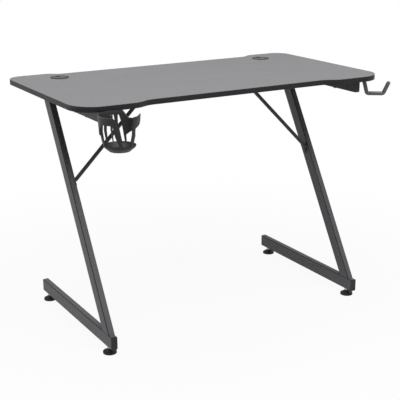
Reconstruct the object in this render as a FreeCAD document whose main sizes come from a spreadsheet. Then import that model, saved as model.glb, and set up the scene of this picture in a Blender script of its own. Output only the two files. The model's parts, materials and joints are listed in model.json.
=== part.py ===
import FreeCAD, Part
import math
import os
import re
import Sketcher
from FreeCAD import Rotation, Vector

# Driving dimensions in millimetres, one row of the sheet each.
# The frame: X along the desk to the right, Y from the user to the rear, Z up.
# The origin is on the floor, midway between the legs and under the middle of the tabletop's depth.
SIZES = {
    # Tabletop: a board with a laminate on top and a thin band round its edge
    "top_length": 1050,
    "top_depth": 580,
    "top_height": 750,
    "top_thickness": 16,
    # Top to the left of the middle between the legs
    "top_shift": 6,
    "laminate_thickness": 0.8,
    "band_thickness": 1,
    "front_corner_radius": 78,
    "rear_corner_radius": 50,
    "front_recess_depth": 22,
    "front_recess_half": 287,
    "front_recess_ease": 75,
    "rear_recess_depth": 22,
    "rear_recess_half": 342,
    "rear_recess_ease": 53,
    # Rectangular steel tube of the Z-shaped legs
    "tube_width": 20,
    "tube_depth": 40,
    "tube_wall": 1.5,
    "tube_corner": 3,
    # Leg inwards from the end of the top, foot and rail back from its front edge,
    # upright back from the front end of the foot
    "leg_x": 83,
    "foot_front_y": 20,
    "foot_length": 534,
    "rail_front_y": 44,
    "rail_length": 423,
    "upright_foot_y": 35,
    "upright_run": 383,
    # Plastic caps in the tube ends
    "cap_thickness": 3,
    "cap_plug_length": 12,
    "cap_clearance": 0.1,
    # Cross beam between the two rails
    "beam_plate_thickness": 3,
    "beam_plate_width": 84,
    "beam_plate_height": 32,
    "beam_bolt_spacing": 62,
    # Diagonal braces of round bar with flattened ends
    "brace_radius": 6,
    # Underside of the rail above the lower bolt
    "brace_bolt_height": 239,
    "brace_tab_length": 30,
    "brace_tab_width": 18,
    "brace_tab_thickness": 3,
    "brace_bend_offset": 14,
    # Machine bolts of the frame
    "bolt_radius": 3,
    "bolt_length": 14,
    "bolt_head_radius": 5.5,
    "bolt_head_height": 3.2,
    "bolt_hole_clearance": 0.2,
    # Long screws through the rails into the tabletop
    "screw_radius": 2.5,
    "screw_head_radius": 5,
    "screw_head_height": 2.6,
    "screw_bite": 10,
    "screw_clearance": 0.1,
    # Levelling feet
    "glide_inset": 34,
    "glide_height": 22,
    "glide_radius": 20.6,
    "glide_disc_height": 6.5,
    "glide_edge_radius": 1.5,
    "glide_neck_foot_radius": 13,
    "glide_neck_top_radius": 7,
    "glide_neck_height": 9.5,
    "glide_floor": 4,
    "stud_radius": 4,
    "stud_length": 44,
    "stud_hex_width": 13,
    "stud_hex_height": 4.2,
    "running_clearance": 0.05,
    "moving_gap": 0.3,
    "nut_flange_radius": 8,
    "nut_flange_height": 1,
    "nut_radius": 5.6,
    "nut_length": 16,
    # Cable grommets
    # Inwards from the end and from the rear edge of the top
    "grommet_x": 147,
    "grommet_y": 89,
    "grommet_hole_radius": 25.9,
    "grommet_flange_radius": 28.8,
    "grommet_flange_height": 1.6,
    "grommet_sleeve_radius": 25.7,
    "grommet_sleeve_length": 19,
    "grommet_mouth_radius": 24.2,
    "grommet_bore_radius": 22.4,
    "lid_thickness": 2,
    "lid_slot_width": 14,
    "lid_slot_reach": 10,
    "shutter_radius": 21.8,
    "shutter_thickness": 1.6,
    "pivot_radius": 3,
    "pivot_head_radius": 4.2,
    "pivot_head_height": 0.8,
    # Cup holder on the front end of the left rail
    # Forwards of the front edge of the top, down from the middle of the rail
    "cup_y": 60,
    "cup_base_z": 76,
    "cup_floor_radius": 29,
    "cup_waist_radius": 43,
    "cup_shoulder_radius": 54,
    "cup_rim_radius": 57.5,
    "cup_dish_height": 12,
    "cup_shoulder_height": 36.5,
    "cup_wall_height": 87,
    "cup_wall": 3,
    "cup_drain_radius": 5,
    "cup_drain_circle": 17,
    "cup_boss_reach": 61,
    "cup_boss_width": 12.5,
    "cup_boss_height": 32,
    "cup_neck_width": 11,
    "cup_neck_height": 28,
    "cup_screw_spacing": 16,
    "cup_screw_length": 24,
    "cup_seat_depth": 1,
    # Headphone hook under the right front corner
    "hook_radius": 6.5,
    # Inwards from the end of the top, back from its front edge
    "hook_x": 21.3,
    "hook_y": 79.7,
    "hook_bend_radius": 7.5,
    "hook_lean": 13.4,
    "hook_drop": 54.5,
    "hook_bottom": 52.3,
    "hook_tip_lean": 14.9,
    "hook_tip_rise": 34,
    "hook_plate_length": 40,
    "hook_plate_width": 26,
    "hook_plate_thickness": 3,
    "hook_screw_spacing": 28,
    # Slack added to cutters so that they pass clean through
    "overrun": 5,
}

# Bearing of the hook in plan, in degrees from +X
HOOK_BEARING = -35.0

# Places of the tabletop screws: two along the stretch of rail in front of the beam plate, one behind it
RAIL_SCREW_SHARES = ((0.53, 0.906), (0.2775,))

# Windows of the cup holder's wall. Each has its two side angles at the lower edge,
# its two side angles at the upper edge, in degrees, and its lower and upper edges
# as shares of the wall's height.
CUP_WINDOW_SHARES = (
    (119, 135, 113, 121, 0.05, 0.60),
    (160, 188, 142, 190, 0.05, 0.34),
    (148, 192, 190, 196, 0.33, 0.74),
    (180, 246, 190, 226, 0.05, 0.76),
    (256, 288, 244, 285, 0.05, 0.72),
    (243, 285, 236, 285, 0.70, 0.94),
    (236, 285, 224, 285, 0.93, 1.05),
    (297, 365, 295, 373, 0.05, 0.46),
    (295, 373, 295, 354, 0.45, 0.60),
    (295, 354, 297, 346, 0.59, 0.67),
    (297, 346, 313, 340, 0.66, 0.78),
    (376, 398, 333, 418, 0.78, 1.05),
    (381, 399, 381, 403, 0.05, 0.25),
    (381, 403, 382, 391, 0.24, 0.34),
    (382, 391, 383, 385, 0.33, 0.38),
    (406, 416, 418, 428, 0.05, 0.60),
    (418, 428, 425, 428, 0.59, 0.86),
    (431, 447, 431, 445, 0.05, 0.54),
    (437, 443, 440, 443, 0.64, 0.87),
    (451, 472, 451, 464, 0.05, 0.56),
)
CUP_DRAIN_COUNT = 5

# Levels and places that follow from the sizes
UNDERSIDE = "(top_height - top_thickness)"
RAIL_LOW = f"({UNDERSIDE} - tube_depth)"
RAIL_MIDDLE = f"({UNDERSIDE} - tube_depth / 2)"
FOOT_TOP = "(glide_height + tube_depth)"
FOOT_MIDDLE = "(glide_height + tube_depth / 2)"
FOOT_FRONT_Y = "(foot_front_y - top_depth / 2)"
FOOT_REAR_Y = f"({FOOT_FRONT_Y} + foot_length)"
RAIL_FRONT_Y = "(rail_front_y - top_depth / 2)"
RAIL_REAR_Y = f"({RAIL_FRONT_Y} + rail_length)"
LEG_X = "(top_length / 2 - leg_x)"
INNER_FACE = f"({LEG_X} - tube_width / 2)"
UPRIGHT_FOOT_Y = f"({FOOT_FRONT_Y} + upright_foot_y)"
UPRIGHT_RAIL_Y = f"({UPRIGHT_FOOT_Y} + upright_run)"
UPRIGHT_RISE = f"({RAIL_LOW} - {FOOT_TOP})"
UPRIGHT_SLOPE = f"(upright_run / {UPRIGHT_RISE})"
UPRIGHT_STRETCH = f"sqrt(1 + {UPRIGHT_SLOPE} ^ 2)"
BRACE_BOLT_Z = f"({RAIL_LOW} - brace_bolt_height)"
BRACE_Y = f"({UPRIGHT_RAIL_Y} - {UPRIGHT_SLOPE} * brace_bolt_height)"
PLATE_FRONT_Y = f"({BRACE_Y} - beam_plate_width / 2)"
PLATE_REAR_Y = f"({BRACE_Y} + beam_plate_width / 2)"
GLIDE_PLACES = {
    "front": f"({FOOT_FRONT_Y} - cap_thickness + glide_inset)",
    "rear": f"({FOOT_REAR_Y} + cap_thickness - glide_inset)",
}
GROMMET_X = "(top_length / 2 - grommet_x)"
GROMMET_Y = "(top_depth / 2 - grommet_y)"
GROMMET_TOP = "(top_height + grommet_flange_height)"
LID_LOW = f"({GROMMET_TOP} - lid_thickness)"
SHUTTER_TOP = f"({LID_LOW} - moving_gap)"
CUP_Y = "(-top_depth / 2 - cup_y)"
CUP_BASE_Z = f"({RAIL_MIDDLE} - cup_base_z)"
CUP_WAIST_Z = f"({CUP_BASE_Z} + cup_dish_height)"
CUP_SHOULDER_Z = f"({CUP_WAIST_Z} + cup_shoulder_height)"
CUP_HIGH_WALL = "(cup_wall_height - cup_shoulder_height)"
CUP_BOSS_Y = f"({CUP_Y} + cup_boss_reach)"
HOOK_X = "(top_length / 2 - hook_x - top_shift)"
HOOK_Y = "(hook_y - top_depth / 2)"
HOOK_PLATE_LOW = f"({UNDERSIDE} - hook_plate_thickness)"

SIDES = {"left": "-1", "right": "1"}
AIM = {
    "+x": Rotation(Vector(0, 1, 0), 90),
    "-x": Rotation(Vector(0, 1, 0), -90),
    "+y": Rotation(Vector(1, 0, 0), -90),
    "-y": Rotation(Vector(1, 0, 0), 90),
    "+z": Rotation(),
}
NEAR = 1e-6

doc = FreeCAD.newDocument("gaming_desk")
sheet = doc.addObject("Spreadsheet::Sheet", "Sizes")
for row, (alias, number) in enumerate(SIZES.items(), start=1):
    sheet.set(f"A{row}", alias)
    sheet.set(f"B{row}", str(number))
    sheet.setAlias(f"B{row}", alias)
doc.recompute()
nodes = []


def size(alias):
    """A driving dimension, read from the sheet."""
    return float(sheet.get(alias))


def formula(text):
    """The text with each size's name pointed at its cell in the sheet."""
    return re.sub(r"[a-z]\w*", lambda word: f"Sizes.{word[0]}" if word[0] in SIZES else word[0], text)


def bind(item, **texts):
    """Tie an object's properties to formulas of the sizes."""
    for prop, text in texts.items():
        item.setExpression(prop, formula(text))


def place(item, x, y, z, aim="+z"):
    """Aim an object's own Z axis and tie its position to formulas of the sizes."""
    item.Placement = FreeCAD.Placement(Vector(), AIM[aim])
    for axis, text in zip("xyz", (x, y, z)):
        item.setExpression(f"Placement.Base.{axis}", formula(text))


def block(name, length, width, height, x, y, z):
    """A box centred on x and y, standing on z."""
    item = doc.addObject("Part::Box", name)
    bind(item, Length=length, Width=width, Height=height)
    place(item, f"{x} - ({length}) / 2", f"{y} - ({width}) / 2", z)
    return item


def rod(name, radius, length, x, y, z, aim="+z"):
    """A cylinder from a point along one of the axes."""
    item = doc.addObject("Part::Cylinder", name)
    bind(item, Radius=radius, Height=length)
    place(item, x, y, z, aim)
    return item


def cone(name, low_radius, high_radius, height, x, y, z):
    """A cone frustum standing on z."""
    item = doc.addObject("Part::Cone", name)
    bind(item, Radius1=low_radius, Radius2=high_radius, Height=height)
    place(item, x, y, z)
    return item


def fuse(name, items):
    """Several overlapping objects as one."""
    item = doc.addObject("Part::MultiFuse", name)
    item.Shapes = items
    return item


def group(name, items):
    """Several separate objects kept together as separate solids."""
    item = doc.addObject("Part::Compound", name)
    item.Links = items
    return item


def cut(name, base, tools):
    """An object with the tools taken out of it."""
    item = doc.addObject("Part::Cut", name)
    item.Base = base
    item.Tool = tools[0] if len(tools) == 1 else group(f"{name}_cutters", tools)
    return item


def solid(name, shape):
    """A shape drawn directly, as an object of the document."""
    item = doc.addObject("Part::Feature", name)
    item.Shape = shape
    return item


def node(item):
    """Count an object as one of the desk's pieces; its label is the piece's name."""
    nodes.append(item)
    return item


def centred_rectangle(sketch, width, depth):
    """A rectangle centred on the sketch's origin, with both sizes tied to formulas."""
    half = size("tube_width") / 2
    corners = [Vector(x * half, y * half, 0) for x, y in ((-1, -1), (1, -1), (1, 1), (-1, 1))]
    first = sketch.GeometryCount
    for start, end in zip(corners, corners[1:] + corners[:1]):
        sketch.addGeometry(Part.LineSegment(start, end))
    for side in range(4):
        following = first + (side + 1) % 4
        sketch.addConstraint(Sketcher.Constraint("Coincident", first + side, 2, following, 1))
        level = "Horizontal" if side % 2 == 0 else "Vertical"
        sketch.addConstraint(Sketcher.Constraint(level, first + side))
    sketch.addConstraint(Sketcher.Constraint("Symmetric", first, 1, first + 2, 1, -1, 1))
    across = sketch.addConstraint(Sketcher.Constraint("DistanceX", first, 1, first, 2, 2 * half))
    along = sketch.addConstraint(Sketcher.Constraint("DistanceY", first + 1, 1, first + 1, 2, 2 * half))
    sketch.setExpression(f"Constraints[{across}]", formula(width))
    sketch.setExpression(f"Constraints[{along}]", formula(depth))


def pad_rectangles(body, name, rectangles, length, reverse=False):
    """One rectangle, or a rectangle within a rectangle, padded along the body's Z axis."""
    plane = next(item for item in body.Origin.OriginFeatures if item.Role == "XY_Plane")
    sketch = body.newObject("Sketcher::SketchObject", f"{name}_section")
    sketch.AttachmentSupport = [(plane, "")]
    sketch.MapMode = "FlatFace"
    for width, depth in rectangles:
        centred_rectangle(sketch, width, depth)
    pad = body.newObject("PartDesign::Pad", f"{name}_pad")
    pad.Profile = sketch
    pad.Reversed = reverse
    bind(pad, Length=length)
    return pad


def round_long_edges(body, pad, name):
    """Round the four outer edges that run along a tube or cap."""
    doc.recompute()
    reach = pad.Shape.BoundBox.XMax
    edges = []
    for number, edge in enumerate(pad.Shape.Edges, start=1):
        start, end = edge.Vertexes[0].Point, edge.Vertexes[-1].Point
        if abs(abs(start.x) - reach) < NEAR and abs(end.z - start.z) > NEAR:
            edges.append(f"Edge{number}")
    fillet = body.newObject("PartDesign::Fillet", f"{name}_round")
    fillet.Base = (pad, edges)
    bind(fillet, Radius="tube_corner")


def tube(name, length, stretch="1"):
    """A hollow rectangular tube along the body's Z axis; stretch widens a slanted tube's level section."""
    body = doc.addObject("PartDesign::Body", name)
    outer = ("tube_width", f"tube_depth * {stretch}")
    inner = ("tube_width - 2 * tube_wall", f"(tube_depth - 2 * tube_wall) * {stretch}")
    pad = pad_rectangles(body, name, (outer, inner), length)
    return body, pad


def end_cap(name, x, y, z, aim):
    """A plastic cap: a flange over the tube's end and a plug inside it."""
    body = doc.addObject("PartDesign::Body", name)
    flange = pad_rectangles(body, f"{name}_flange", [("tube_width", "tube_depth")], "cap_thickness")
    round_long_edges(body, flange, name)
    plug = ("tube_width - 2 * (tube_wall + cap_clearance)", "tube_depth - 2 * (tube_wall + cap_clearance)")
    pad_rectangles(body, f"{name}_plug", [plug], "cap_plug_length", reverse=True)
    place(body, x, y, z, aim)
    return body


def bolt(name, radius, length, head_radius, head_height, x, y, z, aim):
    """A round-headed bolt; the point is under its head, and its shank runs along aim."""
    against = {"+x": "-x", "-x": "+x", "+y": "-y", "-y": "+y", "+z": "+z"}
    shank = rod(f"{name}_shank", radius, length, x, y, z, aim)
    head_z = f"{z} - {head_height}" if aim == "+z" else z
    head = rod(f"{name}_head", head_radius, head_height, x, y, head_z, against[aim])
    return fuse(name, [shank, head])


# Tabletop

def ease(start, end):
    """Two tangent arcs that carry an edge sideways between two level stretches."""
    run = end.x - start.x
    rise = end.y - start.y
    middle = (start + end) * 0.5
    half_turn = math.atan2(abs(rise), abs(run))
    radius = (run ** 2 + rise ** 2) / (4 * abs(rise))
    step_x = math.copysign(radius * math.sin(half_turn), run)
    step_y = math.copysign(radius * (1 - math.cos(half_turn)), rise)
    step = Vector(step_x, step_y, 0)
    return [Part.Arc(start, start + step, middle), Part.Arc(middle, end - step, end)]


def corner(centre, radius, angle):
    """A quarter circle that starts at an angle in degrees and turns to the left."""
    turn = [math.radians(angle + part * 45) for part in range(3)]
    points = [centre + Vector(math.cos(a), math.sin(a), 0) * radius for a in turn]
    return Part.Arc(*points)


def tabletop_outline(name, level):
    """The tabletop's outline: rounded corners, and a shallow recess in the front and rear edges."""
    half_x = size("top_length") / 2
    half_y = size("top_depth") / 2
    front_in = size("front_recess_half")
    front_out = front_in + size("front_recess_ease")
    rear_in = size("rear_recess_half")
    rear_out = rear_in + size("rear_recess_ease")
    # A corner's rounding is limited by the straight edge beside it
    front = min(size("front_corner_radius"), half_x - front_out)
    rear = min(size("rear_corner_radius"), half_x - rear_out)
    front_y = -half_y + size("front_recess_depth")
    rear_y = half_y - size("rear_recess_depth")
    curves = [
        *ease(Vector(-front_out, -half_y, 0), Vector(-front_in, front_y, 0)),
        *ease(Vector(front_in, front_y, 0), Vector(front_out, -half_y, 0)),
        corner(Vector(half_x - front, -half_y + front, 0), front, -90),
        corner(Vector(half_x - rear, half_y - rear, 0), rear, 0),
        *ease(Vector(rear_out, half_y, 0), Vector(rear_in, rear_y, 0)),
        *ease(Vector(-rear_in, rear_y, 0), Vector(-rear_out, half_y, 0)),
        corner(Vector(-half_x + rear, half_y - rear, 0), rear, 90),
        corner(Vector(-half_x + front, -half_y + front, 0), front, 180),
    ]
    edges = []
    arcs = [curve.toShape() for curve in curves]
    for arc, following in zip(arcs, arcs[1:] + arcs[:1]):
        edges.append(arc)
        start, end = arc.lastVertex().Point, following.firstVertex().Point
        if start.distanceToPoint(end) > NEAR:
            edges.append(Part.makeLine(start, end))
    outline = solid(name, Part.Face(Part.Wire(edges)))
    place(outline, "-top_shift", "0", level)
    return outline


def inset(name, outline):
    """The outline moved inward by the edge band's thickness."""
    item = doc.addObject("Part::Offset2D", name)
    item.Source = outline
    bind(item, Value="-band_thickness")
    return item


def extrude(name, face, height):
    """A face drawn upward into a solid."""
    item = doc.addObject("Part::Extrusion", name)
    item.Base = face
    item.DirMode = "Custom"
    item.Dir = Vector(0, 0, 1)
    item.Solid = True
    bind(item, LengthFwd=height)
    return item


def grommet_holes(name):
    """Cutters for the two cable holes."""
    return [
        rod(f"{name}_{side}_hole", "grommet_hole_radius", "top_thickness + 2 * overrun",
            f"{sign} * {GROMMET_X} - top_shift", GROMMET_Y, f"{UNDERSIDE} - overrun")
        for side, sign in SIDES.items()
    ]


def rail_screw_places():
    """Places of the tabletop screws along a rail, clear of the beam plate."""
    front, rear = RAIL_SCREW_SHARES
    places = []
    for share in front:
        places.append(f"({RAIL_FRONT_Y} + {share} * ({PLATE_FRONT_Y} - {RAIL_FRONT_Y}))")
    for share in rear:
        places.append(f"({PLATE_REAR_Y} + {share} * ({RAIL_REAR_Y} - {PLATE_REAR_Y}))")
    return places


def screw_pilots():
    """Blind holes in the tabletop's underside for every screw that bites into it."""
    pilots = []
    radius = "screw_radius + screw_clearance"
    depth = "screw_bite + screw_clearance"
    for side, sign in SIDES.items():
        for number, y in enumerate(rail_screw_places(), start=1):
            pilots.append(rod(f"pilot_{side}_{number}", radius, depth, f"{sign} * {LEG_X}", y, UNDERSIDE))
    for number, sign in enumerate(SIDES.values(), start=1):
        pilots.append(rod(f"pilot_hook_{number}", radius, depth,
                          f"{HOOK_X} + {sign} * hook_screw_spacing / 2", HOOK_Y, UNDERSIDE))
    return pilots


def build_tabletop():
    """Board, edge band and laminate."""
    core_height = "top_thickness - laminate_thickness"
    low_outline = tabletop_outline("board_outline", UNDERSIDE)
    board_face = inset("board_inset", low_outline)
    board = extrude("board_blank", board_face, core_height)
    node(cut("tabletop_core", board, grommet_holes("board") + screw_pilots()))
    inner = extrude("band_inner", board_face, core_height)
    outer = extrude("band_outer", low_outline, core_height)
    node(cut("edge_band", outer, [inner]))
    high_outline = tabletop_outline("laminate_outline", "top_height - laminate_thickness")
    sheet_blank = extrude("laminate_blank", high_outline, "laminate_thickness")
    node(cut("top_laminate", sheet_blank, grommet_holes("laminate")))


# Z-shaped legs

def build_leg(side, sign):
    """Foot tube, slanted upright, top rail and the caps in their ends."""
    x = f"{sign} * {LEG_X}"
    outward = "-x" if sign == "-1" else "+x"
    foot, pad = tube(f"{side}_foot_blank", "foot_length")
    round_long_edges(foot, pad, f"{side}_foot")
    place(foot, x, FOOT_FRONT_Y, FOOT_MIDDLE, "+y")
    holes = [
        rod(f"{side}_{end}_nut_hole", "nut_radius", "tube_wall + 2 * screw_clearance",
            x, y, "glide_height - screw_clearance")
        for end, y in GLIDE_PLACES.items()
    ]
    node(cut(f"{side}_foot_tube", foot, holes))

    upright, pad = tube(f"{side}_upright_blank", UPRIGHT_RISE, UPRIGHT_STRETCH)
    pad.UseCustomVector = True
    pad.AlongSketchNormal = True
    pad.Direction = Vector(0, 0, 1)
    pad.setExpression("Direction.y", formula(UPRIGHT_SLOPE))
    round_long_edges(upright, pad, f"{side}_upright")
    place(upright, x, UPRIGHT_FOOT_Y, FOOT_TOP)
    hole = rod(f"{side}_brace_hole", "bolt_radius + bolt_hole_clearance", "tube_wall + overrun",
               f"{sign} * ({INNER_FACE} - overrun / 2)", BRACE_Y, BRACE_BOLT_Z, outward)
    node(cut(f"{side}_upright_tube", upright, [hole]))

    rail, pad = tube(f"{side}_rail_blank", "rail_length")
    round_long_edges(rail, pad, f"{side}_rail")
    place(rail, x, RAIL_FRONT_Y, RAIL_MIDDLE, "+y")
    holes = []
    for number, y in enumerate(rail_screw_places(), start=1):
        holes.append(rod(f"{side}_rail_hole_{number}", "screw_radius + screw_clearance",
                         "tube_depth + 2 * overrun", x, y, f"{RAIL_LOW} - overrun"))
    for number, step in enumerate(SIDES.values(), start=1):
        holes.append(rod(f"{side}_rail_beam_hole_{number}", "bolt_radius + bolt_hole_clearance",
                         "tube_wall + overrun", f"{sign} * ({INNER_FACE} - overrun / 2)",
                         f"{BRACE_Y} + {step} * beam_bolt_spacing / 2", RAIL_MIDDLE, outward))
    node(cut(f"{side}_top_rail", rail, holes))

    node(end_cap(f"{side}_foot_front_cap", x, FOOT_FRONT_Y, FOOT_MIDDLE, "-y"))
    node(end_cap(f"{side}_foot_rear_cap", x, FOOT_REAR_Y, FOOT_MIDDLE, "+y"))
    node(end_cap(f"{side}_rail_rear_cap", x, RAIL_REAR_Y, RAIL_MIDDLE, "+y"))
    if side == "right":
        node(end_cap(f"{side}_rail_front_cap", x, RAIL_FRONT_Y, RAIL_MIDDLE, "-y"))


# Cross beam and braces

def build_beam():
    """Cross beam along X with a bolted plate at each end."""
    beam, pad = tube("beam_blank", f"2 * ({INNER_FACE} - beam_plate_thickness)")
    round_long_edges(beam, pad, "beam")
    place(beam, f"-({INNER_FACE} - beam_plate_thickness)", BRACE_Y, RAIL_MIDDLE, "+x")
    turned = Rotation(Vector(0, 1, 0), 90).multiply(Rotation(Vector(0, 0, 1), 90))
    beam.Placement.Rotation = turned
    return beam


def frame_bolt(name, x, y, z, aim):
    """One machine bolt of the frame."""
    return bolt(name, "bolt_radius", "bolt_length", "bolt_head_radius", "bolt_head_height", x, y, z, aim)


def build_cross_frame():
    """The beam, its end plates, the two braces and all their bolts."""
    beam_holes = []
    beam_bolts = []
    brace_bolts = []
    hole_radius = "bolt_radius + bolt_hole_clearance"
    for side, sign in SIDES.items():
        outward = "-x" if sign == "-1" else "+x"
        plate = block(f"{side}_plate_blank", "beam_plate_thickness", "beam_plate_width", "beam_plate_height",
                      f"{sign} * ({INNER_FACE} - beam_plate_thickness / 2)", BRACE_Y,
                      f"{RAIL_MIDDLE} - beam_plate_height / 2")
        seat_x = f"{sign} * ({INNER_FACE} - beam_plate_thickness)"
        plate_holes = []
        for number, step in enumerate(SIDES.values(), start=1):
            y = f"({BRACE_Y} + {step} * beam_bolt_spacing / 2)"
            start_x = f"{sign} * ({INNER_FACE} - beam_plate_thickness - overrun)"
            plate_holes.append(rod(f"{side}_plate_hole_{number}", hole_radius,
                                   "beam_plate_thickness + 2 * overrun", start_x, y, RAIL_MIDDLE, outward))
            beam_bolts.append(frame_bolt(f"{side}_beam_bolt_{number}", seat_x, y, RAIL_MIDDLE, outward))
        node(cut(f"{side}_beam_plate", plate, plate_holes))
        brace_bolts += build_brace(side, sign, outward)
        beam_holes.append(rod(f"{side}_beam_hole", hole_radius, "tube_wall + overrun",
                              brace_top_x(sign), BRACE_Y, f"{RAIL_LOW} - overrun / 2"))
    node(cut("cross_beam", build_beam(), beam_holes))
    node(group("beam_bolts", beam_bolts))
    node(group("brace_bolts", brace_bolts))


BEND_INSET = "(brace_radius / sqrt(2))"
BRACE_RISE = f"(brace_bolt_height - {BEND_INSET} - brace_bend_offset)"


def brace_top_x(sign):
    """X place of a brace's upper bolt, under the beam."""
    return f"{sign} * ({INNER_FACE} - {BEND_INSET} - {BRACE_RISE} - brace_bend_offset)"


def build_brace(side, sign, outward):
    """A 45 degree round bar with a flat tab on the upright and one under the beam."""
    bar = doc.addObject("Part::Cylinder", f"{side}_brace_bar")
    bind(bar, Radius="brace_radius", Height=f"sqrt(2) * {BRACE_RISE}")
    place(bar, f"{sign} * ({INNER_FACE} - {BEND_INSET})", BRACE_Y, f"{BRACE_BOLT_Z} + brace_bend_offset")
    bar.Placement.Rotation = Rotation(Vector(0, 1, 0), 45 if sign == "-1" else -45)
    low_tab = block(f"{side}_brace_low_tab", "brace_tab_thickness", "brace_tab_width", "brace_tab_length",
                    f"{sign} * ({INNER_FACE} - brace_tab_thickness / 2)", BRACE_Y,
                    f"{BRACE_BOLT_Z} - brace_tab_length / 2 + brace_bend_offset / 4")
    top_x = brace_top_x(sign)
    high_tab = block(f"{side}_brace_high_tab", "brace_tab_length", "brace_tab_width", "brace_tab_thickness",
                     f"{top_x} + {sign} * brace_bend_offset / 4", BRACE_Y,
                     f"{RAIL_LOW} - brace_tab_thickness")
    blank = fuse(f"{side}_brace_blank", [bar, low_tab, high_tab])
    hole_radius = "bolt_radius + bolt_hole_clearance"
    low_hole = rod(f"{side}_brace_low_hole", hole_radius, "brace_tab_thickness + 2 * overrun",
                   f"{sign} * ({INNER_FACE} - brace_tab_thickness - overrun)", BRACE_Y,
                   BRACE_BOLT_Z, outward)
    high_hole = rod(f"{side}_brace_high_hole", hole_radius, "brace_tab_thickness + 2 * overrun",
                    top_x, BRACE_Y, f"{RAIL_LOW} - brace_tab_thickness - overrun")
    node(cut(f"{side}_brace", blank, [low_hole, high_hole]))
    return [
        frame_bolt(f"{side}_brace_low_bolt", f"{sign} * ({INNER_FACE} - brace_tab_thickness)", BRACE_Y,
                   BRACE_BOLT_Z, outward),
        frame_bolt(f"{side}_brace_high_bolt", top_x, BRACE_Y, f"{RAIL_LOW} - brace_tab_thickness", "+z"),
    ]


def build_rail_screws():
    """Long screws up through both walls of each rail into the tabletop."""
    screws = []
    for side, sign in SIDES.items():
        for number, y in enumerate(rail_screw_places(), start=1):
            screws.append(bolt(f"{side}_rail_screw_{number}", "screw_radius", "tube_depth + screw_bite",
                               "screw_head_radius", "screw_head_height",
                               f"{sign} * {LEG_X}", y, RAIL_LOW, "+z"))
    node(group("rail_screws", screws))


# Levelling feet

def hexagon(name, across, height, x, y, z):
    """A hexagonal prism standing on z, its size given across the flats."""
    item = doc.addObject("Part::Prism", name)
    item.Polygon = 6
    bind(item, Circumradius=f"({across}) / sqrt(3)", Height=height)
    place(item, x, y, z)
    return item


def build_glide(side, sign, end, y):
    """A round foot, the stud that turns in it and the threaded insert in the foot tube."""
    name = f"{side}_{end}"
    x = f"{sign} * {LEG_X}"
    neck_top = "(glide_disc_height + glide_neck_height)"
    disc = rod(f"{name}_pad_disc", "glide_radius", "glide_disc_height - glide_edge_radius", x, y, "0")
    shoulder = cone(f"{name}_pad_shoulder", "glide_radius", "glide_radius - glide_edge_radius",
                    "glide_edge_radius", x, y, "glide_disc_height - glide_edge_radius")
    neck = cone(f"{name}_pad_neck", "glide_neck_foot_radius", "glide_neck_top_radius",
                "glide_neck_height", x, y, "glide_disc_height")
    socket = rod(f"{name}_pad_socket", "stud_radius + running_clearance",
                 f"{neck_top} - glide_floor + overrun", x, y, "glide_floor")
    node(cut(f"{name}_glide_pad", fuse(f"{name}_pad_blank", [disc, shoulder, neck]), [socket]))
    shank = rod(f"{name}_stud_shank", "stud_radius", "stud_length", x, y, "glide_floor + moving_gap")
    collar = hexagon(f"{name}_stud_hex", "stud_hex_width", "stud_hex_height", x, y,
                     f"{neck_top} + moving_gap")
    node(fuse(f"{name}_glide_stud", [shank, collar]))
    flange = rod(f"{name}_nut_flange", "nut_flange_radius", "nut_flange_height", x, y,
                 "glide_height - nut_flange_height")
    barrel = rod(f"{name}_nut_barrel", "nut_radius", "nut_length", x, y, "glide_height")
    thread = rod(f"{name}_nut_thread", "stud_radius + running_clearance", "nut_length + 2 * overrun",
                 x, y, "glide_height - overrun")
    node(cut(f"{name}_glide_nut", fuse(f"{name}_nut_blank", [flange, barrel]), [thread]))


# Cable grommets

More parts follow.
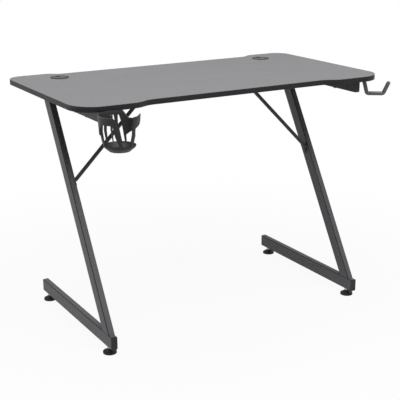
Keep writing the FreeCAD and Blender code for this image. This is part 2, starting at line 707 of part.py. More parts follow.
def build_grommet(side, sign):
    """A flanged liner, the lid in its mouth and the shutter that turns under the lid."""
    x = f"({sign} * {GROMMET_X} - top_shift)"
    y = GROMMET_Y
    sleeve_low = "(top_height - grommet_sleeve_length)"
    sleeve = rod(f"{side}_liner_sleeve", "grommet_sleeve_radius", "grommet_sleeve_length", x, y, sleeve_low)
    flange = rod(f"{side}_liner_flange", "grommet_flange_radius", "grommet_flange_height", x, y,
                 "top_height")
    bore = rod(f"{side}_liner_bore", "grommet_bore_radius", "grommet_sleeve_length + 2 * overrun",
               x, y, f"{sleeve_low} - overrun")
    mouth = rod(f"{side}_liner_mouth", "grommet_mouth_radius", "lid_thickness + moving_gap + overrun",
                x, y, f"{LID_LOW} - moving_gap")
    node(cut(f"{side}_grommet_liner", fuse(f"{side}_liner_blank", [sleeve, flange]), [bore, mouth]))

    disc = rod(f"{side}_lid_disc", "grommet_mouth_radius - moving_gap", "lid_thickness", x, y, LID_LOW)
    slot_length = "(grommet_mouth_radius + overrun - lid_slot_reach)"
    slot = block(f"{side}_lid_slot", "lid_slot_width", slot_length, "lid_thickness + 2 * overrun",
                 x, f"({y} + lid_slot_reach + {slot_length} / 2)", f"{LID_LOW} - overrun")
    pivot_hole = rod(f"{side}_lid_pivot_hole", "pivot_radius + running_clearance",
                     "lid_thickness + 2 * overrun", x, y, f"{LID_LOW} - overrun")
    head_hole = rod(f"{side}_lid_head_hole", "pivot_head_radius + moving_gap",
                    "pivot_head_height + moving_gap + overrun", x, y,
                    f"{GROMMET_TOP} - pivot_head_height - moving_gap")
    node(cut(f"{side}_grommet_lid", disc, [slot, pivot_hole, head_hole]))

    shutter_low = f"({SHUTTER_TOP} - shutter_thickness)"
    plate = rod(f"{side}_shutter_plate", "shutter_radius", "shutter_thickness", x, y, shutter_low)
    gate = block(f"{side}_shutter_slot", slot_length, "lid_slot_width", "shutter_thickness + 2 * overrun",
                 f"({x} + lid_slot_reach + {slot_length} / 2)", y, f"{shutter_low} - overrun")
    pin = rod(f"{side}_shutter_pin", "pivot_radius", f"{GROMMET_TOP} - {shutter_low}", x, y, shutter_low)
    head = rod(f"{side}_shutter_head", "pivot_head_radius", "pivot_head_height", x, y,
               f"{GROMMET_TOP} - pivot_head_height")
    gated = cut(f"{side}_shutter_gated", plate, [gate])
    node(fuse(f"{side}_grommet_shutter", [gated, pin, head]))


# Cup holder

def cup_radius(share):
    """Outer radius of the basket's wall at a share of its height."""
    shoulder = size("cup_shoulder_radius")
    bend = size("cup_shoulder_height") / size("cup_wall_height")
    if share < bend:
        return size("cup_waist_radius") + (shoulder - size("cup_waist_radius")) * share / bend
    return shoulder + (size("cup_rim_radius") - shoulder) * (share - bend) / (1 - bend)


def cup_windows():
    """Cutters for the openings in the basket's wall, each pushed straight outward."""
    inside = size("cup_waist_radius") / 2
    height = size("cup_wall_height")
    cutters = []
    for low_start, low_end, high_start, high_end, low, high in CUP_WINDOW_SHARES:
        middle = math.radians((low_start + low_end + high_start + high_end) / 4)
        outward = Vector(math.cos(middle), math.sin(middle), 0)
        across = Vector(-math.sin(middle), math.cos(middle), 0)
        points = []
        for angle, share in ((low_start, low), (low_end, low), (high_end, high), (high_start, high)):
            offset = across * (cup_radius(share) * math.sin(math.radians(angle) - middle))
            points.append(outward * inside + offset + Vector(0, 0, height * share))
        face = Part.Face(Part.makePolygon(points + points[:1]))
        cutters.append(face.extrude(outward * size("cup_rim_radius")))
    windows = solid("cup_windows", Part.makeCompound(cutters))
    place(windows, f"-{LEG_X}", CUP_Y, CUP_WAIST_Z)
    return windows


def build_cup_holder():
    """The basket, the bracket that plugs into the left rail and the screws between them."""
    x = f"-{LEG_X}"
    dish = cone("cup_dish", "cup_floor_radius", "cup_waist_radius", "cup_dish_height",
                x, CUP_Y, CUP_BASE_Z)
    low_wall = cone("cup_low_wall", "cup_waist_radius", "cup_shoulder_radius", "cup_shoulder_height",
                    x, CUP_Y, CUP_WAIST_Z)
    high_wall = cone("cup_high_wall", "cup_shoulder_radius", "cup_rim_radius", CUP_HIGH_WALL,
                     x, CUP_Y, CUP_SHOULDER_Z)
    boss_depth = "(cup_boss_reach - cup_waist_radius)"
    boss = block("cup_boss", "cup_boss_width", boss_depth, "cup_boss_height", x,
                 f"({CUP_BOSS_Y} - {boss_depth} / 2)", f"{RAIL_MIDDLE} - cup_boss_height / 2")
    dish_hollow = cone("cup_dish_hollow", "cup_floor_radius", "cup_waist_radius - cup_wall",
                       "cup_dish_height - cup_wall", x, CUP_Y, f"{CUP_BASE_Z} + cup_wall")
    low_hollow = cone("cup_low_hollow", "cup_waist_radius - cup_wall", "cup_shoulder_radius - cup_wall",
                      "cup_shoulder_height", x, CUP_Y, CUP_WAIST_Z)
    high_hollow = cone("cup_high_hollow", "cup_shoulder_radius - cup_wall", "cup_rim_radius - cup_wall",
                       CUP_HIGH_WALL, x, CUP_Y, CUP_SHOULDER_Z)
    drains = []
    for number in range(CUP_DRAIN_COUNT):
        angle = number * 360 / CUP_DRAIN_COUNT
        drains.append(rod(f"cup_drain_{number + 1}", "cup_drain_radius", "cup_wall + 2 * overrun",
                          f"{x} + cup_drain_circle * cos({angle})",
                          f"{CUP_Y} + cup_drain_circle * sin({angle})", f"{CUP_BASE_Z} - overrun"))
    blank = fuse("cup_blank", [dish, low_wall, high_wall, boss])
    hollow = fuse("cup_hollow", [dish_hollow, low_hollow, high_hollow])
    opened = cut("cup_opened", cut("cup_shell", blank, [hollow]), [cup_windows()])
    seats = []
    shanks = []
    pilots = []
    screws = []
    for number, sign in enumerate(SIDES.values(), start=1):
        z = f"({RAIL_MIDDLE} + {sign} * cup_screw_spacing / 2)"
        flare = f"((cup_rim_radius - cup_shoulder_radius) * ({z} - {CUP_SHOULDER_Z}) / {CUP_HIGH_WALL})"
        seat_y = f"({CUP_Y} + cup_shoulder_radius - cup_wall + {flare} + cup_seat_depth)"
        seats.append(rod(f"cup_seat_{number}", "screw_head_radius + screw_clearance",
                         "screw_head_height + overrun", x, seat_y, z, "-y"))
        shanks.append(rod(f"cup_shank_hole_{number}", "screw_radius + screw_clearance",
                          "cup_screw_length", x, f"{seat_y} - screw_clearance", z, "+y"))
        pilots.append(rod(f"cup_pilot_{number}", "screw_radius + screw_clearance",
                          "cup_screw_length + screw_clearance", x, seat_y, z, "+y"))
        screws.append(bolt(f"cup_screw_{number}", "screw_radius", "cup_screw_length", "screw_head_radius",
                           "screw_head_height", x, seat_y, z, "+y"))
    node(cut("cup_holder_basket", opened, drains + seats + shanks))
    node(group("cup_holder_screws", screws))

    bracket = doc.addObject("PartDesign::Body", "bracket_blank")
    flange = pad_rectangles(bracket, "bracket_flange", [("tube_width", "tube_depth")], "cap_thickness")
    round_long_edges(bracket, flange, "bracket")
    plug = ("tube_width - 2 * (tube_wall + cap_clearance)", "tube_depth - 2 * (tube_wall + cap_clearance)")
    pad_rectangles(bracket, "bracket_plug", [plug], "2 * cap_plug_length", reverse=True)
    pad_rectangles(bracket, "bracket_neck", [("cup_neck_width", "cup_neck_height")],
                   f"{RAIL_FRONT_Y} - {CUP_BOSS_Y}")
    place(bracket, x, RAIL_FRONT_Y, RAIL_MIDDLE, "-y")
    node(cut("cup_holder_bracket", bracket, pilots))


# Headphone hook

def build_hook():
    """A bent round bar on a small plate under the tabletop."""
    bearing = math.radians(HOOK_BEARING)
    along = Vector(math.cos(bearing), math.sin(bearing), 0)
    top = Vector()
    bend = along * size("hook_lean") - Vector(0, 0, size("hook_drop") - size("hook_plate_thickness"))
    toe = bend + along * size("hook_bottom")
    tip = toe + along * size("hook_tip_lean") + Vector(0, 0, size("hook_tip_rise"))
    path = bent_path([top, bend, toe, tip], size("hook_bend_radius"))
    profile = Part.Wire(Part.makeCircle(size("hook_radius"), top, bend - top))
    bar = path.makePipeShell([profile], True, False)
    rounded = solid("hook_bar", bar.fuse(Part.makeSphere(size("hook_radius"), tip)))
    place(rounded, HOOK_X, HOOK_Y, HOOK_PLATE_LOW)
    trim = block("hook_trim", "hook_plate_length", "hook_plate_width", "hook_plate_thickness",
                 HOOK_X, HOOK_Y, HOOK_PLATE_LOW)
    node(cut("headphone_hook", rounded, [trim]))
    plate = block("hook_plate_blank", "hook_plate_length", "hook_plate_width", "hook_plate_thickness",
                  HOOK_X, HOOK_Y, HOOK_PLATE_LOW)
    holes = []
    screws = []
    for number, sign in enumerate(SIDES.values(), start=1):
        x = f"({HOOK_X} + {sign} * hook_screw_spacing / 2)"
        holes.append(rod(f"hook_plate_hole_{number}", "screw_radius + screw_clearance",
                         "hook_plate_thickness + 2 * overrun", x, HOOK_Y, f"{HOOK_PLATE_LOW} - overrun"))
        screws.append(bolt(f"hook_screw_{number}", "screw_radius", "hook_plate_thickness + screw_bite",
                           "screw_head_radius", "screw_head_height", x, HOOK_Y, HOOK_PLATE_LOW, "+z"))
    node(cut("hook_plate", plate, holes))
    node(group("hook_screws", screws))


def bent_path(points, radius):
    """Straight runs between points, joined by tangent arcs at the corners."""
    edges = []
    begin = points[0]
    for before, point, after in zip(points, points[1:], points[2:]):
        back = (before - point).normalize()
        ahead = (after - point).normalize()
        half = back.getAngle(ahead) / 2
        trim = radius / math.tan(half)
        bisector = (back + ahead).normalize()
        middle = point + bisector * (radius / math.sin(half) - radius)
        edges.append(Part.makeLine(begin, point + back * trim))
        edges.append(Part.Arc(point + back * trim, middle, point + ahead * trim).toShape())
        begin = point + ahead * trim
    edges.append(Part.makeLine(begin, points[-1]))
    return Part.Wire(edges)


# The whole desk

build_tabletop()
for side_name, side_sign in SIDES.items():
    build_leg(side_name, side_sign)
    build_grommet(side_name, side_sign)
    for end_name, end_y in GLIDE_PLACES.items():
        build_glide(side_name, side_sign, end_name, end_y)
build_cross_frame()
build_rail_screws()
build_cup_holder()
build_hook()
doc.recompute()

for item in doc.Objects:
    if "Invalid" in item.State or "Error" in item.State:
        raise RuntimeError(f"{item.Name} failed: {item.State}")
for item in nodes:
    if item.Shape.isNull() or not item.Shape.isValid():
        raise RuntimeError(f"{item.Label} has no valid shape")

os.makedirs("parts", exist_ok=True)
for item in nodes:
    item.Shape.exportStep(f"parts/{item.Label}.step")
print(f"{len(nodes)} pieces written")
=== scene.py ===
import json
import math

import bmesh
import bpy
from mathutils import Matrix, Vector


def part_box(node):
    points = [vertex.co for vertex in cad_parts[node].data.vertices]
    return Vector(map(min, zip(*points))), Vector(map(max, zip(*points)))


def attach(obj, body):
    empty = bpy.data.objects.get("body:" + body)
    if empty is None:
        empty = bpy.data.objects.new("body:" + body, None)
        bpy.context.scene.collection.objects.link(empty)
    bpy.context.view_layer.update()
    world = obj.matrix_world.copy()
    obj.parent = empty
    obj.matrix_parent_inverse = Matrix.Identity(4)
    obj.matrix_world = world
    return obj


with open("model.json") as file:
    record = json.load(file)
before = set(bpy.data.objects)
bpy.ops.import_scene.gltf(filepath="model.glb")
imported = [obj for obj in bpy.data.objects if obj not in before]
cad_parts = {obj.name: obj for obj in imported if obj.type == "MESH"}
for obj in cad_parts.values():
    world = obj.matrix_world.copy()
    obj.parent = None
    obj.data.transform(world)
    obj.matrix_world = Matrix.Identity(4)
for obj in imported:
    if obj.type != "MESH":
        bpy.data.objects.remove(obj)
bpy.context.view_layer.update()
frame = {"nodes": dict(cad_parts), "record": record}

scene = bpy.context.scene
nodes = frame["nodes"]
MM = 0.001
X, Y, Z = 0, 1, 2
FULL_TURN = 2 * math.pi

# Camera that matches the photograph's square frame: metres, degrees, and millimetres for the lens
CAMERA_PLACE = (-1.50461, -2.60988, 1.25698)
CAMERA_YAW = -30.0787
CAMERA_PITCH = 16.9324
CAMERA_ROLL = -0.2686
CAMERA_LENS = 86.285
CAMERA_SENSOR = 36
CAMERA_FAR = 100

# Lamps: name, place, the point aimed at, size in metres, power in watts
LAMPS = (
    ("top_softbox", (-0.5, -0.5, 3.0), (0, 0, 0.6), 2.6, 62),
    ("left_softbox", (-2.8, 1.2, 1.6), (0, 0, 0.45), 2.4, 27),
    ("front_softbox", (0.5, -2.3, 2.8), (0, -0.1, 0.35), 1.4, 54),
)

# Floor: its reach and grey, and how white the camera sees it near the object and further out
FLOOR_REACH = 30.0
FLOOR_GREY = 0.6
FLOOR_NEAR = 0.4
FLOOR_FAR = 1.6
FLOOR_NEAR_WHITE = 0.93
FLOOR_FAR_WHITE = 1.0
WHITE = (1, 1, 1)
WHITE_STRENGTH = 1.0
WORLD_STRENGTH = 0.1

# Finishes: a slow drift and a fine grain are mixed; most of a noise's values lie between low and high
DRIFT_SCALE = 9.0
DRIFT_DETAIL = 3.0
DRIFT_ROUGHNESS = 0.55
DRIFT_SHARE = 0.45
GRAIN_DETAIL = 5.0
GRAIN_ROUGHNESS = 0.6
GRAIN_SHARE = 0.55
NOISE_LOW = 0.3
NOISE_HIGH = 0.7
ROUGH_SPREAD = 0.05
RELIEF_DEPTH = 0.4 * MM
BLACK = (0, 0, 0)

# Tube corners, painted shade: where the painted darker line along them starts and is full, and how
# dark it is
CORNER_START = 0.25
CORNER_FULL = 0.85
CORNER_PAINTED_SHADE = 0.9

# Particle board: chips on the cut walls, backing paper where the surface faces down
CHIP_SCALE = 420.0
CHIP_LOW = 0.1
CHIP_HIGH = 0.8
CHIP_DARK = (0.30, 0.21, 0.13)
CHIP_PALE = (0.54, 0.41, 0.28)
PAPER_DARK = (0.016, 0.016, 0.017)
PAPER_PALE = (0.024, 0.024, 0.025)
PAPER_FACING = -0.5
BOARD_GRAIN = 260.0
BOARD_SPECULAR = 0.3
BOARD_LEAST_ROUGH = 0.62
BOARD_MOST_ROUGH = 0.78
BOARD_BUMP = 0.4
BOARD_GRAIN_RELIEF = 0.4

# Screw thread of the levelling studs
THREAD_PITCH = 1.25 * MM
THREAD_RELIEF = 0.5
THREAD_GRAIN_RELIEF = 0.1

# Rounded edges of the CAD's meshes, and sharp edges of the added pieces
SEAM_GAP = 0.001 * MM
ROUNDING_SEGMENTS = 3
ROUNDING_ANGLE = math.radians(40)
SHARP_ANGLE = math.radians(35)

# Separate solids of a node: how close points are one point, and the digits their order is kept by
SAME_POINT = 0.001 * MM
ORDER_DIGITS = 5

# Screw heads: rings as shares of the radius and of the rise, then of the drive's outline and the rise
HEAD_RISE = 0.9 * MM
HEAD_STEPS = 48
DOME_RINGS = ((0.985, -0.2), (0.99, 0.15), (0.93, 0.5), (0.8, 0.82), (0.66, 0.95))
RECESS_RINGS = ((1.06, 1.0), (1.0, 0.9), (0.96, 0.08))
HEXAGON_REACH = 2.3 * MM
CROSS_REACH = 2.6 * MM
CROSS_ARM_SHARE = 0.3
CROSS_LEAST_SINE = 0.3

# Weld beads: round in section, rippled, tapered to a tip share of the radius at both ends
BEAD_RADIUS = 1.7 * MM
BEAD_STATIONS = 40
BEAD_SIDES = 12
BEAD_TIP_SHARE = 0.02
BEAD_TAPER_POWER = 6
BEAD_RIPPLE = 0.09
BEAD_RIPPLE_LENGTH = 1.7 * MM
UPRIGHT_BEAD_INSET = 2.2 * MM
PLATE_BEAD_INSET = 2 * MM
LEVEL_GAP = 0.1 * MM


def add_camera():
    yaw, pitch, roll = (math.radians(angle) for angle in (CAMERA_YAW, CAMERA_PITCH, CAMERA_ROLL))
    place = Vector(CAMERA_PLACE)
    level = math.cos(pitch)
    ahead = Vector((-math.sin(yaw) * level, math.cos(yaw) * level, -math.sin(pitch)))
    right = Vector((math.cos(yaw), math.sin(yaw), 0))
    up = right.cross(ahead)
    side = right * math.cos(roll) + up * math.sin(roll)
    top = up * math.cos(roll) - right * math.sin(roll)
    data = bpy.data.cameras.new("photo_camera")
    data.sensor_fit = "HORIZONTAL"
    data.sensor_width = CAMERA_SENSOR
    data.lens = CAMERA_LENS
    data.clip_end = CAMERA_FAR
    camera = bpy.data.objects.new("photo_camera", data)
    scene.collection.objects.link(camera)
    camera.matrix_world = Matrix((
        (side.x, top.x, -ahead.x, place.x),
        (side.y, top.y, -ahead.y, place.y),
        (side.z, top.z, -ahead.z, place.z),
        (0, 0, 0, 1),
    ))
    scene.camera = camera


class Tree:
    """The node tree of a material or the world, with short calls for the nodes used here.

    A value is a number, a colour or another node's output."""

    def __init__(self, owner):
        owner.use_nodes = True
        self.owner = owner
        self.nodes = owner.node_tree.nodes
        self.links = owner.node_tree.links
        self.nodes.clear()

    def feed(self, value, socket):
        if isinstance(value, bpy.types.NodeSocket):
            self.links.new(value, socket)
        else:
            socket.default_value = value

    def add(self, kind, **inputs):
        """A new node; each input is named with _ for a space."""
        item = self.nodes.new(kind)
        for key, value in inputs.items():
            self.feed(value, item.inputs[key.replace("_", " ")])
        return item

    def place(self):
        return self.add("ShaderNodeTexCoord").outputs["Object"]

    def noise(self, place, scale, detail, roughness):
        item = self.add("ShaderNodeTexNoise", Vector=place, Scale=scale, Detail=detail,
                        Roughness=roughness)
        return item.outputs["Fac"]

    def span(self, value, low, high, start=NOISE_LOW, end=NOISE_HIGH):
        """The value's range from start to end, carried over to low and high."""
        item = self.add("ShaderNodeMapRange", Value=value, From_Min=start, From_Max=end,
                        To_Min=low, To_Max=high)
        return item.outputs["Result"]

    def mix(self, factor, first, second):
        """A colour between two colours."""
        item = self.nodes.new("ShaderNodeMix")
        item.data_type = "RGBA"
        self.feed(factor, item.inputs["Factor"])
        for key, colour in (("A", first), ("B", second)):
            self.feed((*colour, 1) if isinstance(colour, tuple) else colour, item.inputs[key])
        return item.outputs["Result"]

    def maths(self, kind, first, second=0):
        item = self.nodes.new("ShaderNodeMath")
        item.operation = kind
        for socket, value in zip(item.inputs, (first, second)):
            self.feed(value, socket)
        return item.outputs["Value"]

    def axis(self, vector, letter):
        return self.add("ShaderNodeSeparateXYZ", Vector=vector).outputs[letter]

    def surface(self, tint, rough, specular, metallic, bump, relief):
        """The finished surface of a material: colour, gloss and a bump of the relief."""
        lift = self.add("ShaderNodeBump", Strength=bump, Distance=RELIEF_DEPTH, Height=relief)
        shader = self.add("ShaderNodeBsdfPrincipled", Base_Color=tint, Roughness=rough,
                          Specular_IOR_Level=specular, Metallic=metallic,
                          Normal=lift.outputs["Normal"])
        self.add("ShaderNodeOutputMaterial", Surface=shader.outputs["BSDF"])
        return self.owner

    def white_when_seen(self, amount, plain, white):
        """The plain shader for the light on the object, and the white one where it is looked at."""
        path = self.add("ShaderNodeLightPath").outputs
        seen = self.maths("MAXIMUM", path["Is Camera Ray"], path["Is Glossy Ray"])
        seen = self.maths("MAXIMUM", seen, path["Is Transmission Ray"])
        both = self.add("ShaderNodeMixShader", Fac=self.maths("MULTIPLY", seen, amount))
        self.links.new(plain, both.inputs[1])
        self.links.new(white, both.inputs[2])
        return both.outputs["Shader"]


def material_tree(name):
    return Tree(bpy.data.materials.new(name))


def shade(colour, factor):
    return tuple(min(1.0, channel * factor) for channel in colour)


def finish(name, colour, rough, grain, bump, variation, specular=0.5, metallic=0.0,
           height=None, corners=0.0):
    """A material with slow colour drift, a fine grain in colour and roughness, and a bump of it; with
    corners, painted shade darkens the tube corners.
    """
    t = material_tree(name)
    place = t.place()
    drift = t.noise(place, DRIFT_SCALE, DRIFT_DETAIL, DRIFT_ROUGHNESS)
    fine = t.noise(place, grain, GRAIN_DETAIL, GRAIN_ROUGHNESS)
    mixed = t.maths("ADD", t.maths("MULTIPLY", drift, DRIFT_SHARE),
                    t.maths("MULTIPLY", fine, GRAIN_SHARE))
    tint = t.mix(t.span(mixed, 0, 1), shade(colour, 1 - variation), shade(colour, 1 + variation))
    # Painted shade: the tint runs toward black along the tube corners, by the corners amount
    if corners:
        tint = t.mix(t.span(tube_corner(t), 0, corners, CORNER_START, CORNER_FULL), tint, BLACK)
    roughness = t.span(mixed, rough - ROUGH_SPREAD, rough + ROUGH_SPREAD)
    relief = height(t, place, fine) if height else fine
    return t.surface(tint, roughness, specular, metallic, bump, relief)


def tube_corner(t):
    """How far a tube's surface has turned from a side face to the next: 1 in a corner's middle; the
    mask of the painted corner shade.
    """
    side = t.maths("ABSOLUTE", t.axis(t.add("ShaderNodeTexCoord").outputs["Normal"], "X"))
    rest = t.maths("SQRT", t.maths("SUBTRACT", 1.0, t.maths("MULTIPLY", side, side)))
    return t.maths("MULTIPLY", t.maths("MULTIPLY", side, rest), 2.0)


def thread(t, place, fine):
    """A screw thread along the stud: a wave in Z."""
    wave = t.maths("SINE", t.maths("MULTIPLY", t.axis(place, "Z"), FULL_TURN / THREAD_PITCH))
    return t.maths("ADD", t.maths("MULTIPLY", wave, THREAD_RELIEF),
                   t.maths("MULTIPLY", fine, THREAD_GRAIN_RELIEF))


def board():
    """Particle board: pressed chips on its cut walls, and a dark backing paper on its underside."""
    t = material_tree("particle_board")
    place = t.place()
    chips = t.add("ShaderNodeTexVoronoi", Vector=place, Scale=CHIP_SCALE).outputs["Distance"]
    fine = t.noise(place, BOARD_GRAIN, GRAIN_DETAIL, GRAIN_ROUGHNESS)
    wood = t.mix(t.span(chips, 0, 1, CHIP_LOW, CHIP_HIGH), CHIP_DARK, CHIP_PALE)
    paper = t.mix(t.span(fine, 0, 1), PAPER_DARK, PAPER_PALE)
    facing = t.axis(t.add("ShaderNodeNewGeometry").outputs["True Normal"], "Z")
    under = t.maths("LESS_THAN", facing, PAPER_FACING)
    relief = t.maths("ADD", t.maths("MULTIPLY", chips, t.maths("SUBTRACT", 1.0, under)),
                     t.maths("MULTIPLY", fine, BOARD_GRAIN_RELIEF))
    roughness = t.span(fine, BOARD_LEAST_ROUGH, BOARD_MOST_ROUGH)
    return t.surface(t.mix(under, wood, paper), roughness, BOARD_SPECULAR, 0.0, BOARD_BUMP, relief)


# The corners amount is painted shade along the tube corners
def powder_coat(name, colour, corners=0.0):
    return finish(name, colour, rough=0.5, grain=1100, bump=0.25, variation=0.1, specular=0.2,
                  corners=corners)


def zinc(name, bump, height=None):
    return finish(name, (0.55, 0.55, 0.56), rough=0.34, grain=500, bump=bump, variation=0.08,
                  metallic=1.0, height=height)


MATERIALS = {
    "board": board(),
    "laminate": finish("laminate", (0.125, 0.125, 0.132), rough=0.5, grain=850, bump=0.12,
                       variation=0.05, specular=0.46),
    "edge": finish("edge_band", (0.016, 0.016, 0.017), rough=0.5, grain=700, bump=0.1,
                   variation=0.1, specular=0.18),
    "frame_paint": powder_coat("powder_coat", (0.1, 0.1, 0.106)),
    "cap_plastic": finish("cap_plastic", (0.022, 0.022, 0.023), rough=0.5, grain=900, bump=0.18,
                          variation=0.12, specular=0.28),
    "foot_plastic": finish("foot_plastic", (0.009, 0.009, 0.01), rough=0.6, grain=800, bump=0.2,
                           variation=0.15, specular=0.25),
    "zinc_steel": zinc("zinc_plate", bump=0.1),
    "grommet_plastic": finish("grommet_plastic", (0.02, 0.02, 0.021), rough=0.48, grain=1200,
                              bump=0.2, variation=0.1, specular=0.33),
    "fastener": finish("black_oxide", (0.04, 0.04, 0.042), rough=0.38, grain=900, bump=0.12,
                       variation=0.12),
    "cup_plastic": finish("cup_plastic", (0.018, 0.018, 0.019), rough=0.46, grain=1000, bump=0.15,
                          variation=0.1, specular=0.32),
}
# Tubes: the frame's powder coat with painted shade along their corners
TUBE_PAINTED_CORNER_SHADE = powder_coat("powder_coat_tube_painted_corner_shade", (0.1, 0.1, 0.106), CORNER_PAINTED_SHADE)
# Rails: a darker copy of the same powder coat, painted shade under the tabletop, plus painted shade
# along their corners
RAIL_PAINTED_SHADE = powder_coat("powder_coat_rail_painted_shade", (0.06, 0.06, 0.064), CORNER_PAINTED_SHADE)
# Braces: a darker copy of the same powder coat, painted shade under the tabletop
BRACE_PAINTED_SHADE = powder_coat("powder_coat_brace_painted_shade", (0.058, 0.058, 0.062))
HOOK = finish("hook_enamel", (0.075, 0.075, 0.079), rough=0.26, grain=600, bump=0.04,
              variation=0.06)
RIM = finish("grommet_rim", (0.008, 0.008, 0.009), rough=0.55, grain=1200, bump=0.2,
             variation=0.1, specular=0.15)
STUD = zinc("zinc_thread", bump=0.8, height=thread)

# Nodes whose finish differs from the rest of their slot, by the end of the node's name; tubes, rails
# and braces differ by painted shade
SPECIALS = {
    "_foot_tube": TUBE_PAINTED_CORNER_SHADE,
    "_upright_tube": TUBE_PAINTED_CORNER_SHADE,
    "_top_rail": RAIL_PAINTED_SHADE,
    "_brace": BRACE_PAINTED_SHADE,
    "_glide_stud": STUD,
    "_grommet_liner": RIM,
    "headphone_hook": HOOK,
}

# Rounding of the cut, pressed and moulded edges, by the end of the node's name, in millimetres
ROUNDINGS = {
    "edge_band": 0.35,
    "top_laminate": 0.3,
    "_cap": 0.5,
    "_glide_pad": 0.5,
    "_beam_plate": 0.5,
    "_brace": 0.5,
    "_grommet_liner": 0.6,
    "_grommet_lid": 0.4,
    "_grommet_shutter": 0.3,
    "cup_holder_basket": 0.7,
    "cup_holder_bracket": 0.6,
    "hook_plate": 0.6,
}


def dress_nodes():
    """Every CAD node takes its slot's material or its own, and listed edges are rounded a little."""
    slots = {part["node"]: part["material_slot"] for part in frame["record"]["subparts"]}
    for name, item in nodes.items():
        material = MATERIALS[slots[name]]
        for ending, special in SPECIALS.items():
            if name.endswith(ending):
                material = special
        item.data.materials.clear()
        item.data.materials.append(material)
        for ending, width in ROUNDINGS.items():
            if name.endswith(ending):
                round_edges(item, width * MM)


def round_edges(item, width):
    """Join the mesh's seams and round its sharp edges, as modifiers on top of the CAD's mesh."""
    weld = item.modifiers.new("seams", "WELD")
    weld.merge_threshold = SEAM_GAP
    bevel = item.modifiers.new("rounding", "BEVEL")
    bevel.width = width
    bevel.segments = ROUNDING_SEGMENTS
    bevel.limit_method = "ANGLE"
    bevel.angle_limit = ROUNDING_ANGLE
    bevel.harden_normals = True


def piece(name, verts, faces, slot, body):
    """An added piece of the scene, in its slot's material, on its body."""
    mesh = bpy.data.meshes.new(name)
    mesh.from_pydata([tuple(v) for v in verts], [], faces)
    mesh.validate()
    work = bmesh.new()
    work.from_mesh(mesh)
    bmesh.ops.recalc_face_normals(work, faces=work.faces)
    work.to_mesh(mesh)
    work.free()
    mesh.shade_smooth()
    item = bpy.data.objects.new(name, mesh)
    scene.collection.objects.link(item)
    mesh.materials.append(MATERIALS[slot])
    mesh.set_sharp_from_angle(angle=SHARP_ANGLE)
    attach(item, body)


def islands(node):
    """The boxes of a node's separate solids, lowest and highest corners, in a fixed order."""
    work = bmesh.new()
    work.from_mesh(nodes[node].data)
    bmesh.ops.remove_doubles(work, verts=work.verts, dist=SAME_POINT)
    left = set(work.verts)
    boxes = []
    while left:
        reached = [left.pop()]
        found = []
        while reached:
            vert = reached.pop()
            found.append(vert.co.copy())
            for edge in vert.link_edges:
                other = edge.other_vert(vert)
                if other in left:
                    left.remove(other)
                    reached.append(other)
        low = Vector(min(co[axis] for co in found) for axis in (X, Y, Z))
        high = Vector(max(co[axis] for co in found) for axis in (X, Y, Z))
        boxes.append((low, high))
    work.free()
    return sorted(boxes, key=lambda pair: tuple(round(value, ORDER_DIGITS) for value in pair[0]))


def circle(axis, steps):
    """Directions square to an axis, evenly round it."""
    first = axis.orthogonal().normalized()
    second = axis.cross(first)
    angles = [FULL_TURN * step / steps for step in range(steps)]
    return [first * math.cos(angle) + second * math.sin(angle) for angle in angles]


def hexagon(angle, reach):
    """Outline of a hexagon socket: its reach from the middle at an angle."""
    within = (angle + math.pi / 6) % (math.pi / 3) - math.pi / 6
    return reach * math.cos(math.pi / 6) / math.cos(within)


def cross(angle, reach):
    """Outline of a cross recess: its reach from the middle at an angle."""
    within = (angle + math.pi / 4) % (math.pi / 2) - math.pi / 4
    half = reach * CROSS_ARM_SHARE
    if abs(within) < math.atan2(half, reach):
        return reach / math.cos(within)
    return half / max(abs(math.sin(within)), CROSS_LEAST_SINE)


def head_dome(name, face, outward, radius, drive, reach):
    """A domed screw head with its drive recess, on the flat head of the CAD."""
    outward = Vector(outward)
    ways = circle(outward, HEAD_STEPS)
    outline = [drive(FULL_TURN * step / HEAD_STEPS, reach) for step in range(HEAD_STEPS)]
    rings = [([radius * share] * HEAD_STEPS, level) for share, level in DOME_RINGS]
    rings += [([value * share for value in outline], level) for share, level in RECESS_RINGS]
    verts = []
    for radii, level in rings:
        lift = outward * (HEAD_RISE * level)
        verts += [face + way * value + lift for way, value in zip(ways, radii)]
    faces = []
    for lower in range(0, len(verts) - HEAD_STEPS, HEAD_STEPS):
        upper = lower + HEAD_STEPS
        for step in range(HEAD_STEPS):
            after = (step + 1) % HEAD_STEPS
            faces.append((lower + step, lower + after, upper + after, upper + step))
    faces.append(tuple(range(len(verts) - HEAD_STEPS, len(verts))))
    piece(name, verts, faces, "fastener", "frame")


def inner_end(low, high):
    """The end of a crosswise bolt that faces the middle of the desk, and the way it faces."""
    middle = (low + high) / 2
    if low.x > 0:
        return Vector((low.x, middle.y, middle.z)), (-1, 0, 0)
    return Vector((high.x, middle.y, middle.z)), (1, 0, 0)


def lower_end(low, high):
    middle = (low + high) / 2
    return Vector((middle.x, middle.y, low.z)), (0, 0, -1)


def front_end(low, high):
    middle = (low + high) / 2
    return Vector((middle.x, low.y, middle.z)), (0, -1, 0)


def brace_end(low, high):
    """A brace's bolt goes crosswise into its upright, or upwards at its other end."""
    crosswise = high.x - low.x > high.z - low.z
    return inner_end(low, high) if crosswise else lower_end(low, high)


# Screws and bolts: node, name of the added heads, which end, the axis across a head, the drive
HEADS = (
    ("beam_bolts", "beam_bolt_head", inner_end, Z, hexagon, HEXAGON_REACH),
    ("brace_bolts", "brace_bolt_head", brace_end, Y, hexagon, HEXAGON_REACH),
    ("rail_screws", "rail_screw_head", lower_end, X, cross, CROSS_REACH),
    ("hook_screws", "hook_screw_head", lower_end, X, cross, CROSS_REACH),
    ("cup_holder_screws", "cup_screw_head", front_end, X, cross, CROSS_REACH),
)


def add_head_domes():
    for node, label, end, across, drive, reach in HEADS:
        for number, (low, high) in enumerate(islands(node), start=1):
            face, outward = end(low, high)
            radius = (high[across] - low[across]) / 2
            head_dome(f"{label}_{number}", face, outward, radius, drive, reach)


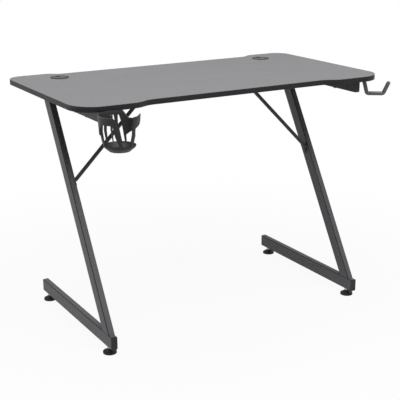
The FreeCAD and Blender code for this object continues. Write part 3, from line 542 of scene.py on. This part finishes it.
def bead(start, end, verts, faces):
    """A rippled weld bead along a line, rounded at its ends."""
    along = end - start
    length = along.length
    along.normalize()
    ways = circle(along, BEAD_SIDES)
    base = len(verts)
    for station in range(BEAD_STATIONS + 1):
        share = station / BEAD_STATIONS
        taper = math.sqrt(max(0.0, 1 - abs(2 * share - 1) ** BEAD_TAPER_POWER))
        taper = taper * (1 - BEAD_TIP_SHARE) + BEAD_TIP_SHARE
        ripple = 1 + BEAD_RIPPLE * math.sin(FULL_TURN * share * length / BEAD_RIPPLE_LENGTH)
        middle = start + along * (length * share)
        verts += [middle + way * (BEAD_RADIUS * taper * ripple) for way in ways]
    for station in range(BEAD_STATIONS):
        row = base + station * BEAD_SIDES
        for side in range(BEAD_SIDES):
            after = (side + 1) % BEAD_SIDES
            faces.append((row + side, row + after, row + BEAD_SIDES + after, row + BEAD_SIDES + side))
    for station in (0, BEAD_STATIONS):
        row = base + station * BEAD_SIDES
        faces.append(tuple(range(row, row + BEAD_SIDES)))


def add_welds():
    """Welds where each upright meets its foot and rail, and where the beam meets its plates."""
    beam_low, beam_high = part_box("cross_beam")
    for side in ("left", "right"):
        verts, faces = [], []
        low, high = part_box(f"{side}_upright_tube")
        near, far = low[X] + UPRIGHT_BEAD_INSET, high[X] - UPRIGHT_BEAD_INSET
        points = [v.co for v in nodes[f"{side}_upright_tube"].data.vertices]
        foot_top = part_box(f"{side}_foot_tube")[1][Z]
        rail_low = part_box(f"{side}_top_rail")[0][Z]
        for level in (foot_top, rail_low):
            ends = [co.y for co in points if abs(co.z - level) < LEVEL_GAP]
            for y in (min(ends), max(ends)):
                bead(Vector((near, y, level)), Vector((far, y, level)), verts, faces)
        plate_low, plate_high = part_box(f"{side}_beam_plate")
        inner = plate_high[X] if side == "left" else plate_low[X]
        bottom, top = plate_low[Z] + PLATE_BEAD_INSET, plate_high[Z] - PLATE_BEAD_INSET
        for y in (beam_low[Y], beam_high[Y]):
            bead(Vector((inner, y, bottom)), Vector((inner, y, top)), verts, faces)
        piece(f"{side}_welds", verts, faces, "frame_paint", "frame")


def add_stage():
    """A pale floor that keeps the object's shadow and fades to white further out."""
    corners = [(-1, -1), (1, -1), (1, 1), (-1, 1)]
    mesh = bpy.data.meshes.new("floor")
    mesh.from_pydata([(x * FLOOR_REACH, y * FLOOR_REACH, 0) for x, y in corners], [], [(0, 1, 2, 3)])
    floor = bpy.data.objects.new("floor", mesh)
    scene.collection.objects.link(floor)
    t = material_tree("pale_floor")
    paint = t.add("ShaderNodeBsdfDiffuse", Color=(FLOOR_GREY, FLOOR_GREY, FLOOR_GREY, 1))
    white = t.add("ShaderNodeEmission", Color=(*WHITE, 1), Strength=WHITE_STRENGTH)
    away = t.add("ShaderNodeVectorMath", Vector=t.place())
    away.operation = "LENGTH"
    amount = t.span(away.outputs["Value"], FLOOR_NEAR_WHITE, FLOOR_FAR_WHITE, FLOOR_NEAR, FLOOR_FAR)
    both = t.white_when_seen(amount, paint.outputs["BSDF"], white.outputs["Emission"])
    t.add("ShaderNodeOutputMaterial", Surface=both)
    mesh.materials.append(t.owner)


def add_world():
    """White surroundings that light the object only a little."""
    scene.world = bpy.data.worlds.new("studio")
    t = Tree(scene.world)
    soft = t.add("ShaderNodeBackground", Color=(*WHITE, 1), Strength=WORLD_STRENGTH)
    white = t.add("ShaderNodeBackground", Color=(*WHITE, 1), Strength=WHITE_STRENGTH)
    both = t.white_when_seen(1.0, soft.outputs["Background"], white.outputs["Background"])
    t.add("ShaderNodeOutputWorld", Surface=both)


def add_lamp(name, place, target, size, energy):
    data = bpy.data.lights.new(name, "AREA")
    data.shape = "SQUARE"
    data.size = size
    data.energy = energy
    lamp = bpy.data.objects.new(name, data)
    scene.collection.objects.link(lamp)
    lamp.location = place
    lamp.rotation_euler = (Vector(target) - Vector(place)).to_track_quat("-Z", "Y").to_euler()


scene.view_settings.view_transform = "Standard"
add_camera()
add_stage()
add_world()
for lamp_facts in LAMPS:
    add_lamp(*lamp_facts)
dress_nodes()
add_head_domes()
add_welds()
